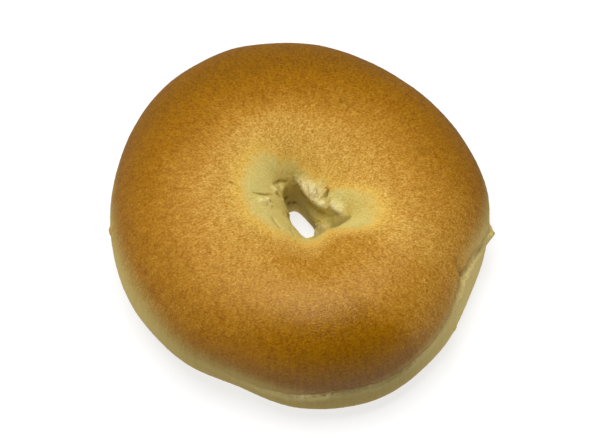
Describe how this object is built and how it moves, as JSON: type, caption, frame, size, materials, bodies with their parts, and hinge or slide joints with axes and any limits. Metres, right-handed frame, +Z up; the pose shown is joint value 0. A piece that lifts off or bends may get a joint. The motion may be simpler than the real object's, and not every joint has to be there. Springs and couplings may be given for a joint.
{
  "type": "bagel",
  "caption": "Plain whole bagel: a round, browned ring of dough with a small slanted hole, a rounded top and a flat base.",
  "frame": {"origin": "middle of the bagel's footprint, on the flat base that it rests on", "axes": "+Z up through the hole, +X to the right and +Y away from the viewer of the main view"},
  "size_m": [0.1106, 0.1118, 0.0396],
  "materials": {
    "crust": "golden brown boiled and baked crust, satin, fading to pale dough round the hole and low on the sides"
  },
  "bodies": {
    "root": {"bagel": "crust"}
  },
  "joints": []
}
